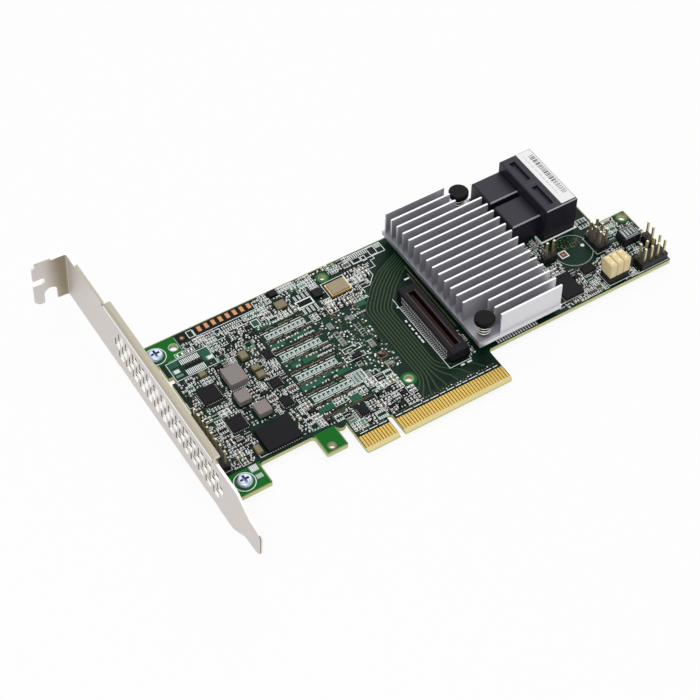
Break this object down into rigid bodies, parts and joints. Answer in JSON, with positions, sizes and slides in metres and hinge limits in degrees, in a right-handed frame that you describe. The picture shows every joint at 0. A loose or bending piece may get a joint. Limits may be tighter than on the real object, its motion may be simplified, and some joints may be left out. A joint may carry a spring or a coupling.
{
  "type": "storage controller card",
  "caption": "Low-profile storage controller card with a finned heat sink, a double cable connector at the far end and a full-height vented bracket.",
  "frame": {"origin": "middle of the key slot at the tip of the edge connector, on the board's component side", "axes": "+X along the board from the bracket to the far end, +Y from the edge connector to the top edge, +Z out of the component side"},
  "size_m": [0.1792, 0.12, 0.0203],
  "materials": {
    "solder_mask": "semi-gloss solder mask over fibreglass",
    "gold": "gold plate",
    "bracket_steel": "plated sheet steel",
    "screw_steel": "plated",
    "sink_aluminium": "bare extruded",
    "lid_metal": "plated lid",
    "pad_grey": "matt",
    "black_moulding": "moulded, satin",
    "chip_black": "moulded, matt",
    "header_black": "moulded, satin",
    "cap_cream": "moulded, satin",
    "wafer_brown": "moulded",
    "label_white": "matt",
    "ferrite_grey": "pressed powder",
    "ceramic_gold": "metallised ceramic",
    "ceramic_tan": "fired, matt",
    "tin_lead": "tinned"
  },
  "bodies": {
    "root": {"battery_header_body": "header_black", "battery_header_pins": "gold", "bracket_screws": "screw_steel", "cable_connector": "black_moulding", "circuit_board": "solder_mask", "cluster_header_body": "header_black", "cluster_header_pins": "gold", "controller_lid": "lid_metal", "controller_package": "chip_black", "decoupling_back": "ceramic_tan", "decoupling_front": "ceramic_tan", "driver_chips": "chip_black", "edge_contacts_back": "gold", "edge_contacts_front": "gold", "fan_header_body": "header_black", "fan_header_pins": "gold", "flash_memory": "chip_black", "heat_sink": "sink_aluminium", "inductor_1": "ferrite_grey", "inductor_2": "ferrite_grey", "inductor_3": "ferrite_grey", "jumper_caps": "cap_cream", "jumper_header_body": "header_black", "jumper_header_pins": "gold", "lamp_header_body": "header_black", "lamp_header_pins": "gold", "logic_chip": "chip_black", "memory_chip_1": "chip_black", "memory_chip_2": "chip_black", "memory_chip_3": "chip_black", "memory_chip_4": "chip_black", "memory_chip_5": "chip_black", "mezzanine_housing": "black_moulding", "mezzanine_leads": "tin_lead", "mounting_bracket": "bracket_steel", "oscillator_base": "ceramic_gold", "oscillator_lid": "lid_metal", "pin_spring_far": "tin_lead", "pin_spring_near": "tin_lead", "port_label": "label_white", "port_wafer_1": "wafer_brown", "port_wafer_2": "wafer_brown", "power_chips": "chip_black", "push_pin_far": "black_moulding", "push_pin_near": "black_moulding", "sensor_chip": "chip_black", "service_header_body": "header_black", "service_header_pins": "gold", "shielded_block": "chip_black", "tan_capacitors": "ceramic_tan", "thermal_pad": "pad_grey"}
  },
  "joints": []
}
